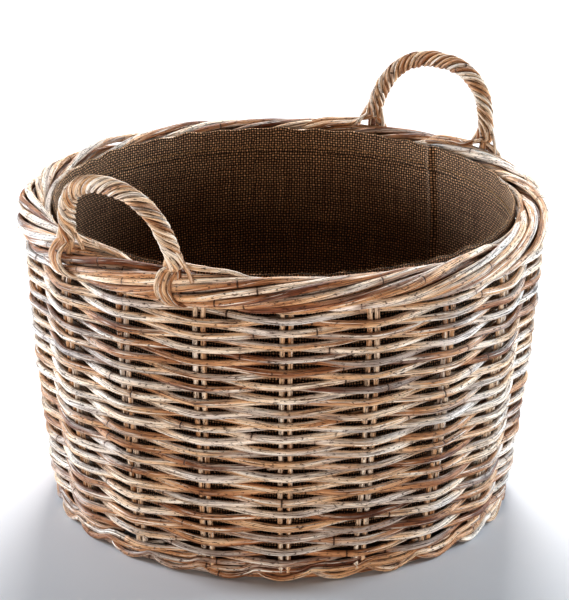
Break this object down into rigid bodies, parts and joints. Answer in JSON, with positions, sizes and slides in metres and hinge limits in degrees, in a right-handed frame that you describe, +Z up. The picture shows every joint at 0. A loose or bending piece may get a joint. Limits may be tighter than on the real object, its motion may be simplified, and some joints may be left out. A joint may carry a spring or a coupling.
{
  "type": "log basket",
  "caption": "Round tapered wicker log basket with a rolled border, roped loop handles on two sides and a cloth lining.",
  "frame": {"origin": "on the basket's axis at the height of the face it stands on", "axes": "+Z up along the basket's axis, the two handles over -X (left) and +X (right), +Y along the right handle's span"},
  "size_m": [0.6278, 0.6004, 0.4547],
  "materials": {
    "rattan_stake": "natural split and unsplit rattan, satin to matt",
    "rattan_weave": "natural split and unsplit rattan, satin to matt",
    "rattan_border": "natural split and unsplit rattan, satin to matt",
    "rattan_handle": "natural split and unsplit rattan, satin to matt",
    "rattan_base": "natural split and unsplit rattan, satin to matt",
    "jute_lining": "matt woven jute",
    "jute_thread": "matt woven jute"
  },
  "bodies": {
    "root": {"foot_wale": "rattan_weave", "base_sticks": "rattan_base", "base_weave_1": "rattan_base", "base_weave_2": "rattan_base", "stake_pair_01": "rattan_stake", "stake_pair_02": "rattan_stake", "stake_pair_03": "rattan_stake", "stake_pair_04": "rattan_stake", "stake_pair_05": "rattan_stake", "stake_pair_06": "rattan_stake", "stake_pair_07": "rattan_stake", "stake_pair_08": "rattan_stake", "stake_pair_09": "rattan_stake", "stake_pair_10": "rattan_stake", "stake_pair_11": "rattan_stake", "stake_pair_12": "rattan_stake", "stake_pair_13": "rattan_stake", "stake_pair_14": "rattan_stake", "stake_pair_15": "rattan_stake", "stake_pair_16": "rattan_stake", "stake_pair_17": "rattan_stake", "stake_pair_18": "rattan_stake", "stake_pair_19": "rattan_stake", "upsett_wale": "rattan_weave", "side_weave_01": "rattan_weave", "side_weave_02": "rattan_weave", "side_weave_03": "rattan_weave", "side_weave_04": "rattan_weave", "side_weave_05": "rattan_weave", "side_weave_06": "rattan_weave", "side_weave_07": "rattan_weave", "side_weave_08": "rattan_weave", "side_weave_09": "rattan_weave", "border_strand_1": "rattan_border", "border_strand_2": "rattan_border", "border_strand_3": "rattan_border", "border_strand_4": "rattan_border", "handle_left_core": "rattan_handle", "handle_left_rope_1": "rattan_handle", "handle_left_rope_2": "rattan_handle", "handle_left_rope_3": "rattan_handle", "handle_right_core": "rattan_handle", "handle_right_rope_1": "rattan_handle", "handle_right_rope_2": "rattan_handle", "handle_right_rope_3": "rattan_handle", "lining_side": "jute_lining", "lining_base": "jute_lining", "hem_thread": "jute_thread"}
  },
  "joints": []
}
